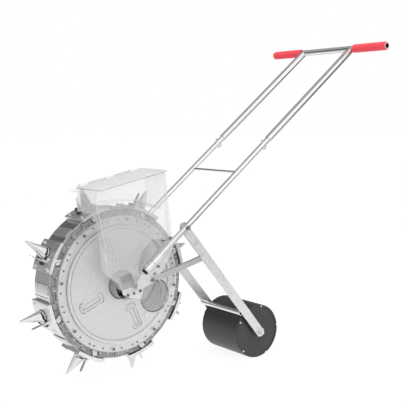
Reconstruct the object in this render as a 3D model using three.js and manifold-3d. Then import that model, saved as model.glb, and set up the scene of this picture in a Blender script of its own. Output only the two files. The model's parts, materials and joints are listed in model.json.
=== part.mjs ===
// Hand-pushed drum seeder: a duckbill drum on an inlet collar, a covering roller behind it,
// a clear hopper beside and above the drum, and a telescopic two-tube handle.
// Millimetres, +Z up, -X is the way it travels, Y runs along the drum's axle.
import * as THREE from 'three';
import { mergeVertices } from 'three/addons/utils/BufferGeometryUtils.js';
import Module from 'manifold-3d';

const wasm = await Module();
wasm.setup();

// Drum
const billCount = 8;
const drumRadius = 230;
const tipRadius = 308.5;
const drumPhase = 16.64;
const drumWidth = 109;
const flangeInset = 21;
const ringDepth = 16;
const sheet = 1.6;
const screwInset = 9.5;
const beadRadius = 180;
const beadHeight = 6;
const domeHeight = 10;
const collarRadius = 43;
const collarReach = 37;
const windowRadius = 55;
const windowAngle = 338;
const windowOrbit = 129;
const tipY = 75;
const billBaseRadius = 20;
const billBaseY = 58;
const billBaseShift = 8;
const billWall = 1.8;
const billTipRadius = 2.6;
const seatBefore = 35;
const seatAfter = 63;
const seatNearY = 2;
const seatOverhang = 3;
const seatRise = 11.5;
const jawHingeShift = 30;
const jawFingerReach = 40;
const jawFingerWidth = 12;

// Frame
const gap = 0.35;
const nearTubeY = -103.5;
const farTubeClearance = 24.8;
const tubeAngle = 38.68;
const handleDatum = [264.5, 538.9];
const lowerTubeRadius = 9;
const upperTubeRadius = 11.5;
const tubeStart = -306;
const stepLength = 304;
const overlapLength = 120;
const braceAt = 141;
const braceRadius = 4;
const stopRadius = 3;
const stopHeadRadius = 4.5;
const barLength = 801;
const gripLength = 147;
const gripRadius = 14.5;
const armTop = -116;
const armWidth = 30;
const armThickness = 5;
const boltHeadRadius = 7.5;
const boltHeadHeight = 5;
const boltNutHeight = 4;
const stayRadius = 8.5;
const tieRadius = 8.5;
const tieClearance = 18.6;
const tieDrop = 13.8;

// Roller
const rollerX = 484.3;
const rollerRadius = 89.4;
const rollerWidth = 190;

// Hopper
const hopperTilt = 11.8;
const hopperLength = 234;
const hopperDepth = 118;
const hopperNearY = -75;
const hopperTopZ = 616;
const hopperWall = 2.5;
const rimWidth = 8;
const rimEnd = 2;
const rimLip = 24;
const coverRise = 3;
const chuteDepth = 26;
const drumClearance = 26;

const farTubeY = drumWidth + farTubeClearance;
const tieReach = rollerRadius + tieClearance;
const rad = THREE.MathUtils.degToRad;
const billAngles = Array.from({ length: billCount }, (_, k) => drumPhase + (k * 360) / billCount);
const axleHeight = tipRadius * Math.max(...billAngles.map((a) => -Math.sin(rad(a))));
const rollerNearY = (nearTubeY + farTubeY - rollerWidth) / 2;
const rollerFarY = rollerNearY + rollerWidth;

function finish(color, roughness, metalness, opacity = 1) {
  return new THREE.MeshStandardMaterial({ color, roughness, metalness, opacity, transparent: opacity < 1 });
}
const galvanised = finish(0xc4c7c8, 0.42, 0.9);
const stainless = finish(0xd5d7d8, 0.3, 1.0);
const chromed = finish(0xe2e4e6, 0.12, 1.0);
const darkSteel = finish(0x6e7072, 0.5, 0.8);
const clearSheet = finish(0xd8dcdc, 0.15, 0.0, 0.4);
const blackPlastic = finish(0x1b1c1d, 0.45, 0.0);
const redFoam = finish(0xb3202a, 0.85, 0.0);

// Helpers

function solid(geometry, matrix) {
  const bare = geometry.clone();
  if (matrix) bare.applyMatrix4(matrix);
  for (const key of Object.keys(bare.attributes)) {
    if (key !== 'position') bare.deleteAttribute(key);
  }
  const merged = mergeVertices(bare, 1e-3);
  const at = merged.attributes.position;
  const index = merged.index.array;
  const faces = [];
  const corner = [new THREE.Vector3(), new THREE.Vector3(), new THREE.Vector3()];
  let volume = 0;
  for (let i = 0; i < index.length; i += 3) {
    const [a, b, c] = [index[i], index[i + 1], index[i + 2]];
    if (a === b || b === c || a === c) continue;
    corner[0].fromBufferAttribute(at, a);
    corner[1].fromBufferAttribute(at, b);
    corner[2].fromBufferAttribute(at, c);
    volume += corner[0].dot(corner[1].cross(corner[2]));
    faces.push([a, b, c]);
  }
  const ordered = volume < 0 ? faces.map(([a, b, c]) => [a, c, b]) : faces;
  return new wasm.Manifold(new wasm.Mesh({
    numProp: 3,
    vertProperties: new Float32Array(at.array),
    triVerts: new Uint32Array(ordered.flat()),
  }));
}

function toGeometry(body) {
  const mesh = body.getMesh();
  const geometry = new THREE.BufferGeometry();
  geometry.setAttribute('position', new THREE.BufferAttribute(new Float32Array(mesh.vertProperties), 3));
  geometry.setIndex(new THREE.BufferAttribute(new Uint32Array(mesh.triVerts), 1));
  geometry.computeVertexNormals();
  return geometry;
}

function place(x, y, z, turnY = 0, turnX = 0, turnZ = 0) {
  const turn = new THREE.Euler(rad(turnX), rad(turnY), rad(turnZ), 'YXZ');
  const matrix = new THREE.Matrix4().makeRotationFromEuler(turn);
  return matrix.setPosition(x, y, z);
}

function box(width, depth, height, matrix) {
  return solid(new THREE.BoxGeometry(width, depth, height), matrix);
}

// A ring or disc turned about Y from a closed list of [radius, y] corners.
function turned(corners, segments, matrix) {
  const profile = corners.map(([r, y]) => new THREE.Vector2(r, y));
  profile.push(profile[0].clone());
  return solid(new THREE.LatheGeometry(profile, segments), matrix);
}

// A round bar along Y, or along another direction when turned by the matrix.
function rod(radius, from, to, segments, matrix) {
  return turned([[0, from], [radius, from], [radius, to], [0, to]], segments, matrix);
}

// A flat plate in the XZ plane, given [x, z] corners and optional round holes [x, z, r].
function plate(corners, fromY, toY, holes = [], segments = 12) {
  const shape = new THREE.Shape(corners.map(([x, z]) => new THREE.Vector2(x, z)));
  for (const [x, z, r] of holes) {
    shape.holes.push(new THREE.Path().absarc(x, z, r, 0, Math.PI * 2, true));
  }
  const options = { depth: toY - fromY, bevelEnabled: false, curveSegments: segments };
  const geometry = new THREE.ExtrudeGeometry(shape, options);
  return solid(geometry, new THREE.Matrix4().set(1, 0, 0, 0, 0, 0, -1, toY, 0, 1, 0, 0, 0, 0, 0, 1));
}

function roundedBar(length, width, radius) {
  const corners = [];
  const half = width / 2;
  const steps = 5;
  for (let i = 0; i <= steps; i += 1) {
    const a = Math.PI / 2 + (Math.PI * i) / steps;
    corners.push([Math.cos(a) * half, Math.sin(a) * half]);
  }
  corners.push([length + half - radius, -half]);
  corners.push([length + half, -half + radius]);
  corners.push([length + half, half - radius]);
  corners.push([length + half - radius, half]);
  return corners;
}

// Moves each corner of a closed outline inwards by the wall thickness.
function inset(corners, wall) {
  const count = corners.length;
  const area = corners.reduce((sum, [x, z], i) => {
    const [u, v] = corners[(i + 1) % count];
    return sum + x * v - u * z;
  }, 0);
  const side = Math.sign(area);
  return corners.map(([x, z], i) => {
    const [px, pz] = corners[(i + count - 1) % count];
    const [nx, nz] = corners[(i + 1) % count];
    const before = new THREE.Vector2(x - px, z - pz).normalize();
    const after = new THREE.Vector2(nx - x, nz - z).normalize();
    const first = new THREE.Vector2(-before.y, before.x).multiplyScalar(side);
    const second = new THREE.Vector2(-after.y, after.x).multiplyScalar(side);
    const mitre = first.clone().add(second).normalize();
    const reach = wall / Math.max(mitre.dot(second), 0.4);
    return [x + mitre.x * reach, z + mitre.y * reach];
  });
}

function addMesh(parent, name, body, material) {
  const mesh = new THREE.Mesh(toGeometry(body), material);
  mesh.name = name;
  parent.add(mesh);
  return mesh;
}

const seeder = new THREE.Group();
const drum = new THREE.Group();
drum.position.set(0, 0, axleHeight);
seeder.add(drum);

// Drum side discs

const flangeRadius = drumRadius - flangeInset;
const screwRadius = flangeRadius - screwInset;
const hubHole = collarRadius + 2;
const windowX = windowOrbit * Math.cos(rad(windowAngle));
const windowZ = windowOrbit * Math.sin(rad(windowAngle));

function sideDisc(dome, bead, holeRadius) {
  return turned([
    [flangeRadius, 0], [beadRadius + 3, 0], [beadRadius - 2, -bead],
    [holeRadius + 14, -dome], [holeRadius, -dome], [holeRadius, -dome + sheet],
    [holeRadius + 14, -dome + sheet], [beadRadius - 2, -bead + sheet],
    [beadRadius + 3, sheet], [flangeRadius, sheet],
  ], 52);
}

// A pressed rib: a raised outline of a long slot pointing at the hub.
function pressedRib(angle, outer, width, lift) {
  const length = 78;
  const bar = roundedBar(length - width, width, width * 0.45);
  const inner = inset(bar, 3);
  const ring = plate(bar, lift, lift + 3.4).subtract(plate(inner, lift - 2, lift + 6));
  const turn = place(0, 0, 0, -angle);
  return ring.transform(place(outer - length + width / 2, 0, 0).elements).transform(turn.elements);
}

let nearDisc = sideDisc(domeHeight, beadHeight, hubHole);
for (let k = 0; k < 4; k += 1) {
  const angle = windowAngle + 45 + k * 90;
  nearDisc = nearDisc.add(pressedRib(angle, 154, 38, -10.3));
}
nearDisc = nearDisc.subtract(rod(windowRadius, -30, 20, 32, place(windowX, 0, windowZ)));
for (let k = 0; k < billCount; k += 1) {
  const a = rad(drumPhase + 20.9 + (k * 360) / billCount);
  const at = place(screwRadius * Math.cos(a), 0, screwRadius * Math.sin(a));
  nearDisc = nearDisc.add(rod(5, -3.4, 1, 8, at));
}
addMesh(drum, 'near_side_disc', nearDisc, galvanised);

const windowPane = turned([
  [0, -9.9], [windowRadius - 0.8, -9.9], [windowRadius - 0.8, sheet + gap], [windowRadius + 5, sheet + gap],
  [windowRadius + 5, sheet + 2], [windowRadius - 3.5, sheet + 2], [windowRadius - 3.5, -7.6], [0, -7.6],
], 32, place(windowX, 0, windowZ));
addMesh(drum, 'inspection_window', windowPane, clearSheet);

let farDisc = sideDisc(2, 2, 16);
const farSeat = new THREE.Matrix4().makeScale(1, -1, 1).setPosition(0, drumWidth + 2 * sheet + gap, 0);
farDisc = solid(toGeometry(farDisc), farSeat);
addMesh(drum, 'far_side_disc', farDisc, galvanised);

// Clear metering ring with one seed cell for each bill

let meteringRing = turned([
  [drumRadius, ringDepth - 3], [drumRadius, ringDepth - gap], [186, ringDepth - gap], [186, ringDepth - 3],
], 56);
for (let k = 0; k < billCount; k += 1) {
  const angle = billAngles[k] + 8;
  const shell = box(26, 9.5, 44, place(0, ringDepth - 7.3, 206));
  const hollow = box(21, 8, 39, place(0, ringDepth - 9, 206));
  const cell = shell.subtract(hollow);
  meteringRing = meteringRing.add(cell.transform(place(0, 0, 0, 90 - angle).elements));
}
addMesh(drum, 'metering_ring', meteringRing, clearSheet);

// Steel shell

let band = turned([
  [drumRadius, ringDepth], [drumRadius, drumWidth], [186, drumWidth], [186, drumWidth - sheet],
  [drumRadius - sheet, drumWidth - sheet], [drumRadius - sheet, ringDepth],
], 56);
for (let k = 0; k < billCount; k += 1) {
  const mouth = box(24, 24, 30, place(billBaseShift, billBaseY, drumRadius));
  band = band.subtract(mouth.transform(billTurn(k).elements));
}
addMesh(drum, 'drum_shell', band, stainless);

const hub = turned([
  [13, drumWidth - 34], [20, drumWidth - 34], [20, drumWidth + 3], [34, drumWidth + 3],
  [34, drumWidth + 7.5 - sheet], [13, drumWidth + 7.5 - sheet],
], 28, place(0, sheet - 8, 0));
addMesh(drum, 'drum_hub', hub, darkSteel);

const bushing = turned([
  [collarRadius + gap, -domeHeight + sheet + gap], [58, -domeHeight + sheet + gap], [58, 0],
  [collarRadius + gap, 0],
], 36);
addMesh(drum, 'inlet_bushing', bushing, blackPlastic);

// Duckbills. In a bill's own frame +Z points out from the axle, +X is the way its angle grows
// and Y runs along the axle.
const seatRadius = drumRadius + seatRise;
const billRoot = seatRadius - 1;
const billLength = tipRadius - billRoot;
const jawHingeRadius = seatRadius + 5.5;
const jawPinRadius = 1.6;
const jawBarrelRadius = 3.4;
const jawBarrelHalf = 12;
const jawSplit = 0.35;

// A cone from the seat to the tip, leaning from the middle of its base towards the tip.
function leaningCone(baseRadius, endRadius, from, to, sides) {
  const cone = new THREE.CylinderGeometry(endRadius, baseRadius, to - from, sides);
  const upright = place(0, 0, from + (to - from) / 2, 0, 90);
  const leanX = -billBaseShift / billLength;
  const leanY = (tipY - billBaseY) / billLength;
  const lean = new THREE.Matrix4().set(
    1, 0, leanX, billBaseShift - leanX * billRoot,
    0, 1, leanY, billBaseY - leanY * billRoot,
    0, 0, 1, 0,
    0, 0, 0, 1,
  );
  return solid(cone, lean.multiply(upright));
}

// Everything on the growing side of the plane that divides a bill into fixed half and jaw.
function jawSide(clearance) {
  const half = 60;
  const lean = THREE.MathUtils.radToDeg(Math.atan2(billBaseShift, billLength));
  const offset = billBaseRadius * jawSplit + clearance;
  const block = box(half, 2 * half, 4 * half, place(half / 2 + offset, 0, 0));
  return block.transform(place(billBaseShift, billBaseY, billRoot, -lean).elements);
}

function seatTray() {
  const near = seatNearY;
  const far = drumWidth + seatOverhang;
  const foot = drumRadius + 1;
  const tray = turned([
    [foot, near], [seatRadius, near], [seatRadius, far], [foot, far],
    [foot, far - sheet], [seatRadius - sheet, far - sheet],
    [seatRadius - sheet, near + sheet], [foot, near + sheet],
  ], 72);
  const before = Math.atan2(seatBefore, seatRadius);
  const after = Math.atan2(seatAfter, seatRadius);
  const reach = 2 * seatRadius;
  const wedge = plate([
    [0, 0], [-reach * Math.sin(before), reach * Math.cos(before)],
    [reach * Math.sin(after), reach * Math.cos(after)],
  ], near - 5, far + 5);
  const lip = box(sheet, far - near, seatRise - 2, place(0, (far + near) / 2, seatRadius - seatRise / 2));
  const start = lip.transform(place(0, 0, 0, -THREE.MathUtils.radToDeg(before)).elements);
  const end = lip.transform(place(0, 0, 0, THREE.MathUtils.radToDeg(after)).elements);
  return tray.intersect(wedge).add(start).add(end);
}

const jawHinge = place(jawHingeShift, billBaseY, jawHingeRadius);
const hingePlace = place(jawHingeShift, 0, jawHingeRadius);
const billOuter = leaningCone(billBaseRadius, billTipRadius, billRoot, tipRadius, 16);
const billCore = leaningCone(billBaseRadius - billWall, 0.6, billRoot - 3, tipRadius - 4, 12);
const earThickness = 2.2;
const earDrop = jawHingeRadius - Math.sqrt(seatRadius ** 2 - jawHingeShift ** 2) + sheet;
const hingeEar = box(2 * jawBarrelRadius, earThickness, earDrop, place(0, 0, -earDrop / 2))
  .add(rod(jawBarrelRadius, -earThickness / 2, earThickness / 2, 10));

const earOffset = jawBarrelHalf + gap + earThickness / 2;
const nearEar = hingeEar.transform(place(0, -earOffset, 0).elements).transform(jawHinge.elements);
const farEar = hingeEar.transform(place(0, earOffset, 0).elements).transform(jawHinge.elements);
const jawPin = rod(jawPinRadius, billBaseY - earOffset, billBaseY + earOffset, 8, hingePlace);
const fixedBill = seatTray()
  .add(billOuter.subtract(jawSide(-gap / 2)))
  .add(nearEar).add(farEar)
  .subtract(rod(billBaseRadius - billWall, -9, 9, 12, place(billBaseShift, billBaseY, seatRadius, 0, 90)))
  .subtract(billCore)
  .add(jawPin);

const jawFoot = jawHingeRadius;
const jawTop = tipRadius - 3;
const jawKeep = box(120, 120, jawTop - jawFoot, place(0, billBaseY, (jawFoot + jawTop) / 2));
const fingerMiddle = jawHingeRadius + jawFingerReach / 2 - jawFingerWidth / 4;
const finger = box(2.4, jawFingerWidth, jawFingerReach - jawFingerWidth / 2,
  place(jawHingeShift + 2, billBaseY, fingerMiddle));
const fingerEnd = rod(jawFingerWidth / 2, -1.2, 1.2, 12,
  place(jawHingeShift + 2, billBaseY, jawHingeRadius + jawFingerReach - jawFingerWidth / 2, 0, 0, -90));
const barrel = rod(jawBarrelRadius, billBaseY - jawBarrelHalf, billBaseY + jawBarrelHalf, 10, hingePlace);
const jawWeb = box(8, 2 * jawBarrelHalf - 4, 2.4, place(jawHingeShift - 4, billBaseY, jawFoot + 1.6));
const movingJaw = billOuter.intersect(jawSide(gap)).intersect(jawKeep).add(jawWeb)
  .subtract(billCore)
  .add(barrel).add(finger).add(fingerEnd)
  .subtract(rod(jawPinRadius + gap, billBaseY - 20, billBaseY + 20, 8, hingePlace));

// Turns a bill's frame to its place on the drum, with +X along the growing angle.
function billTurn(k) {
  const turn = new THREE.Matrix4().makeRotationY(rad(90 - billAngles[k]));
  return turn.multiply(new THREE.Matrix4().makeScale(-1, 1, 1));
}
const faceBack = new THREE.Matrix4().makeScale(-1, 1, 1);
const jawGeometry = toGeometry(movingJaw.transform(faceBack.elements));
const seatGeometry = toGeometry(fixedBill.transform(faceBack.elements));
for (let k = 0; k < billCount; k += 1) {
  const seat = new THREE.Mesh(seatGeometry, galvanised);
  const jaw = new THREE.Mesh(jawGeometry, stainless);
  seat.name = `bill_seat_${k + 1}`;
  jaw.name = `bill_jaw_${k + 1}`;
  for (const piece of [seat, jaw]) {
    piece.rotation.y = rad(90 - billAngles[k]);
    drum.add(piece);
  }
}

// Inlet collar, outlet plate and axle

const collarFront = -domeHeight - collarReach;
const collar = turned([
  [collarRadius, collarFront], [collarRadius, 6], [collarRadius + 13, 6], [collarRadius + 13, 9],
  [collarRadius - 3, 9], [collarRadius - 3, collarFront],
], 40, place(0, 0, axleHeight));
addMesh(seeder, 'inlet_collar', collar, clearSheet);

const outletPlate = box(44, 3, 40, place(2, -20, axleHeight + 9, -hopperTilt));
const outletRim = box(50, 8, 4, place(5.9, -20, axleHeight - 12, -hopperTilt));
addMesh(seeder, 'outlet_plate', outletPlate.add(outletRim), darkSteel);

// Handle tubes

const handle = new THREE.Group();
handle.position.set(handleDatum[0], 0, handleDatum[1]);
handle.rotation.y = -rad(tubeAngle);
seeder.add(handle);
const tubeTurn = [0, 0, -90];

function tube(outer, inner, from, to, y, segments) {
  const corners = [[inner, from], [outer, from], [outer, to], [inner, to]];
  return turned(corners, segments, place(0, y, 0, ...tubeTurn));
}

function alongTube(length, lift = 0) {
  const a = rad(tubeAngle);
  return [
    handleDatum[0] + length * Math.cos(a) - lift * Math.sin(a),
    handleDatum[1] + length * Math.sin(a) + lift * Math.cos(a),
  ];
}

const stopAt = stepLength - 22;
const boltHole = 4;
for (const [side, y] of [['near', nearTubeY], ['far', farTubeY]]) {
  const lower = tube(lowerTubeRadius, lowerTubeRadius - 2, tubeStart, stepLength + overlapLength, y, 24)
    .subtract(rod(boltHole + gap, y - 30, y + 30, 12, place(armTop, 0, 0)))
    .subtract(rod(stopRadius + gap, -30, 30, 10, place(stopAt, y, 0, 0, 90)));
  addMesh(handle, `lower_tube_${side}`, lower, chromed);
  const plugPlace = place(0, y, 0, ...tubeTurn);
  const plug = rod(lowerTubeRadius - 2 - gap, tubeStart - 1, tubeStart + 14, 16, plugPlace)
    .add(rod(lowerTubeRadius + 1.5, tubeStart - 4, tubeStart - gap, 20, place(0, y, 0, ...tubeTurn)));
  addMesh(handle, `tube_plug_${side}`, plug, blackPlastic);
  const across = place(stopAt, y, 0, 0, 90);
  const foot = -lowerTubeRadius;
  const bolt = rod(stopRadius, foot - 8, lowerTubeRadius + 3, 10, across)
    .add(rod(stopHeadRadius, lowerTubeRadius + gap, lowerTubeRadius + 4.5, 6, across))
    .add(rod(stopHeadRadius, foot - 4, foot - gap, 6, across))
    .add(box(14, 2.4, 2.4, place(stopAt - 6, y, foot - 6)));
  addMesh(handle, `stop_bolt_${side}`, bolt, darkSteel);
}

// Upper handle, crossbar and grips

const barNear = nearTubeY - 12.5 - gripLength;
const barFar = farTubeY + 12.5 + gripLength;
const barRadius = 10.5;
let upper = rod(barRadius, barNear, barFar, 24, place(barLength, 0, 0));
for (const y of [nearTubeY, farTubeY]) {
  upper = upper.add(rod(upperTubeRadius, stepLength, barLength - 2, 24, place(0, y, 0, ...tubeTurn)));
}
for (const y of [nearTubeY, farTubeY]) {
  const boreEnd = barLength - barRadius;
  const bore = rod(lowerTubeRadius + gap, stepLength - 5, boreEnd, 24, place(0, y, 0, ...tubeTurn));
  upper = upper.subtract(bore);
}
upper = upper.subtract(rod(barRadius - 2, barNear - 5, barFar + 5, 20, place(barLength, 0, 0)));
addMesh(handle, 'upper_handle', upper, chromed);

function grip(open, closed) {
  const toward = Math.sign(open - closed);
  const lip = open - toward * 5;
  return turned([
    [barRadius + gap, closed], [gripRadius - 1.5, closed], [gripRadius, closed + toward * 3],
    [gripRadius, lip], [gripRadius - 1, open], [barRadius + gap, open],
  ], 20, place(barLength, 0, 0));
}
addMesh(handle, 'grip_near', grip(barNear, barNear + gripLength), redFoam);
addMesh(handle, 'grip_far', grip(barFar, barFar - gripLength), redFoam);

const braceEnds = [nearTubeY + lowerTubeRadius + gap, farTubeY - lowerTubeRadius - gap];
addMesh(handle, 'cross_brace', rod(braceRadius, ...braceEnds, 16, place(braceAt, 0, 0)), stainless);

// Side straps, sleeves and stays

const nearArmY = nearTubeY + lowerTubeRadius + gap;
const farArmY = farTubeY - lowerTubeRadius - gap - armThickness;
const strapNearY = nearArmY + armThickness + 3.6;
const strapThick = 4;
const strapFarY = farTubeY - lowerTubeRadius - 4.3 - strapThick;
const [hubX, hubZ] = [0, axleHeight];
const rollerZ = rollerRadius;
const [armX, armZ] = alongTube(armTop);
const armAngle = THREE.MathUtils.radToDeg(Math.atan2(armZ - rollerZ, rollerX - armX));
const armLength = Math.hypot(armZ - rollerZ, rollerX - armX);
const staySpot = 0.26;
const stayX = armX + (rollerX - armX) * staySpot - 3;
const stayZ = armZ + (rollerZ - armZ) * staySpot - 6;
const stayRootX = hubX + 62;
const stayRootZ = hubZ + 19;

function fromHub(corners) {
  return corners.map(([x, z]) => [hubX + x, hubZ + z]);
}
const strapTop = [alongTube(-172, 7), alongTube(-276, 7)];
const strapFoot = [...fromHub([[30, -2], [74, 13], [110, 62]]), alongTube(-190, -30), alongTube(-174, -16)];
const strapOutline = [...strapTop, ...fromHub([[8, 20], [8, -5]]), ...strapFoot];
const hubBracket = fromHub([[-24, -8], [-20, -22], [-1, -33], [42, -43], [51, -20], [51, 4]]);
const strapHoles = [[stayRootX, stayRootZ, 4 + gap]];
const nearStrap = plate(strapOutline, strapNearY, strapNearY + strapThick, strapHoles)
  .add(plate(fromHub([[8, -5], [30, -2], [30, 4], [8, 2]]), strapNearY, collarFront - gap))
  .add(plate(hubBracket, collarFront - 4 - gap, collarFront - gap));
addMesh(seeder, 'near_strap', nearStrap, stainless);

const farOutline = [...strapTop, ...fromHub([[-18, 16], [-18, -16], [16, -16]]), ...strapFoot];
const farHoles = [[hubX, hubZ, 9 + gap], ...strapHoles];
const farStrap = plate(farOutline, strapFarY, strapFarY + strapThick, farHoles);
addMesh(seeder, 'far_strap', farStrap, stainless);

const axle = rod(9, drumWidth - 30, strapFarY + strapThick + 8, 20, place(hubX, 0, hubZ))
  .add(rod(12.4, strapFarY - 6, strapFarY - gap, 20, place(hubX, 0, hubZ)));
addMesh(seeder, 'stub_axle', axle, darkSteel);

for (const [side, y, inner] of [
  ['near', nearTubeY, strapNearY - gap],
  ['far', farTubeY, strapFarY + strapThick + gap],
]) {
  const sleeveEnd = tubeStart + 70;
  const shell = rod(lowerTubeRadius + 3.5, tubeStart + 4, sleeveEnd, 24, place(0, y, 0, ...tubeTurn));
  const bridge = box(46, Math.abs(inner - y), 14, place(tubeStart + 38, (inner + y) / 2, -2));
  const bore = rod(lowerTubeRadius + gap, tubeStart, sleeveEnd + 4, 24, place(0, y, 0, ...tubeTurn));
  addMesh(handle, `socket_sleeve_${side}`, shell.add(bridge).subtract(bore), galvanised);
}

function stay(tabY, tubeY) {
  const length = Math.hypot(stayX - stayRootX, stayZ - stayRootZ);
  const angle = THREE.MathUtils.radToDeg(Math.atan2(stayZ - stayRootZ, stayX - stayRootX));
  const tab = roundedBar(length, 2 * stayRadius, 5);
  const flat = plate(tab, tabY, tabY + 3, [[0, 0, 4 + gap]]);
  if (tubeY === undefined) return flat.transform(place(stayRootX, 0, stayRootZ, -angle).elements);
  const spar = rod(stayRadius, 40, length - 8, 20, place(0, tubeY, 0, 0, 0, -90));
  const bore = rod(stayRadius - 1.5, 0, length + 20, 16, place(0, tubeY, 0, 0, 0, -90));
  return flat.add(spar).subtract(bore).transform(place(stayRootX, 0, stayRootZ, -angle).elements);
}
const stayTabY = nearArmY + armThickness + gap;
addMesh(seeder, 'near_stay', stay(stayTabY, stayTabY + stayRadius), galvanised);
addMesh(seeder, 'far_stay', stay(farArmY + armThickness + gap), galvanised);

// Roller arms

for (const [side, y] of [['near', nearArmY], ['far', farArmY]]) {
  const outline = roundedBar(armLength, armWidth, 9);
  const holes = [[0, 0, boltHole + gap], [armLength, 0, 6 + gap]];
  const arm = plate(outline, y, y + armThickness, holes).transform(place(armX, 0, armZ, armAngle).elements);
  addMesh(seeder, `roller_arm_${side}`, arm, galvanised);
  const outward = side === 'near' ? -1 : 1;
  const tubeY = side === 'near' ? nearTubeY : farTubeY;
  const inside = side === 'near' ? y + armThickness : y;
  const head = tubeY + outward * (lowerTubeRadius + gap);
  const headTop = head + outward * boltHeadHeight;
  const nutFoot = inside - outward * gap;
  const nutTop = nutFoot - outward * boltNutHeight;
  const boltEnd = nutTop - outward;
  const span = (a, b) => [Math.min(a, b), Math.max(a, b)];
  const bolt = rod(boltHole, ...span(headTop, boltEnd), 12)
    .add(rod(boltHeadRadius, ...span(head, headTop), 6))
    .add(rod(boltHeadRadius, ...span(nutFoot, nutTop), 6));
  addMesh(seeder, `arm_bolt_${side}`, bolt.transform(place(armX, 0, armZ).elements), darkSteel);
}

const tieX = rollerX - tieReach * Math.cos(rad(armAngle)) - tieDrop * Math.sin(rad(armAngle));
const tieZ = rollerZ + tieReach * Math.sin(rad(armAngle)) - tieDrop * Math.cos(rad(armAngle));
const tieNearY = nearArmY + armThickness + gap;
const tie = turned([
  [tieRadius - 2, tieNearY],
  [tieRadius, tieNearY],
  [tieRadius, farArmY - gap],
  [tieRadius - 2, farArmY - gap],
], 20, place(tieX, 0, tieZ));
addMesh(seeder, 'tie_tube', tie, galvanised);

// Roller

const roller = new THREE.Group();
roller.position.set(rollerX, 0, rollerZ);
seeder.add(roller);
addMesh(roller, 'roller_shell', turned([
  [rollerRadius - 3, rollerNearY], [rollerRadius, rollerNearY + 3], [rollerRadius, rollerFarY - 3],
  [rollerRadius - 3, rollerFarY], [rollerRadius - 7, rollerFarY], [rollerRadius - 7, rollerNearY],
], 44), blackPlastic);
for (const [side, from] of [['near', rollerNearY + 2], ['far', rollerFarY - 6]]) {
  const cap = turned([
    [6 + gap, from - 3], [15, from - 3], [18, from], [rollerRadius - 7 - gap, from],
    [rollerRadius - 7 - gap, from + 4], [18, from + 4], [15, from + 7], [6 + gap, from + 7],
  ], 28);
  addMesh(roller, `roller_cap_${side}`, cap, blackPlastic);
}
const rollerAxle = rod(6, nearArmY - 14, farArmY + armThickness + 14, 16, place(rollerX, 0, rollerZ));
addMesh(seeder, 'roller_axle', rollerAxle, stainless);

// Hopper and lid

const half = hopperLength / 2;
const rise = Math.tan(rad(hopperTilt));
const topZ = (x) => hopperTopZ + x * rise;
const chuteOutline = [
  [-half, topZ(-half)], [-half - 5, 550], [-half + 11, 492], [-half + 22, 432], [-half + 29, 350],
  [-44, axleHeight + 18], [-38, axleHeight - 3], [20, axleHeight + 6], [17, 362], [27, 394], [40, 416],
  [70, 438], [half + 18, 428], [half + 22, 450], [half, topZ(half)],
];
const boxOutline = [
  [-half, topZ(-half)], [-half - 5, 550], [-half, 500], [half + 8, 500], [half, topZ(half)],
];

function hopperBlock(wall) {
  const near = hopperNearY + wall;
  const far = hopperNearY + hopperDepth - wall;
  const chuteBack = hopperNearY + chuteDepth - wall;
  const grow = (outline) => (wall ? inset(outline, wall) : outline);
  const lift = (outline) => outline.map(([x, z], i) => {
    const top = i === 0 || i === outline.length - 1;
    return top ? [x, z + 12 * Math.sign(wall)] : [x, z];
  });
  const front = plate(lift(grow(chuteOutline)), near, chuteBack);
  const over = plate(lift(grow(boxOutline)), near, far);
  const hollow = rod(drumRadius + drumClearance + wall, chuteBack, far + 10, 64, place(hubX, 0, hubZ));
  return front.add(over.subtract(hollow));
}

const rimCentre = hopperNearY + hopperDepth / 2;
const slope = 1 / Math.cos(rad(hopperTilt));
const rimDepth = hopperDepth + 2 * rimWidth - 8;
const rimOuter = box(hopperLength * slope + 2 * rimEnd, rimDepth, 2.6,
  place(0, rimCentre, hopperTopZ - 1.3, -hopperTilt));
const rimInner = box(hopperLength * slope - 2 * hopperWall - 4, hopperDepth - 2 * hopperWall, 30,
  place(0, rimCentre, hopperTopZ, -hopperTilt));
const knuckleY = rimCentre + hopperDepth / 2 + rimWidth + 5;
const knuckles = [-90, -45, 0, 45, 90];
const inHopperFrame = place(0, 0, hopperTopZ, -hopperTilt).elements;
const lipAt = -(hopperLength * slope) / 2 - rimEnd - rimLip / 2;
const lip = box(rimLip + 10, rimDepth, 2.6, place(lipAt + 5, rimCentre, -3.3));
let hopperKnuckles = rimOuter.add(lip.transform(inHopperFrame));
for (const x of knuckles.filter((_, i) => i % 2)) {
  hopperKnuckles = hopperKnuckles
    .add(box(26, 18, 2.6, place(x, knuckleY - 7, -3.3)).transform(inHopperFrame))
    .add(box(26, 4, 6, place(x, knuckleY, -1)).transform(inHopperFrame))
    .add(rod(4, -13, 13, 14, place(x, knuckleY, 3, 0, 0, 90)).transform(inHopperFrame));
}
hopperKnuckles = hopperKnuckles
  .subtract(rod(2 + gap, -140, 140, 12, place(0, knuckleY, 3, 0, 0, 90)).transform(inHopperFrame));
const outlet = box(40, 20, 24, place(-8, hopperNearY + chuteDepth, axleHeight + 26, -hopperTilt));
const hopper = hopperBlock(0)
  .add(hopperKnuckles)
  .subtract(rimInner)
  .subtract(hopperBlock(hopperWall))
  .subtract(outlet);
addMesh(seeder, 'hopper', hopper, clearSheet);

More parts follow.
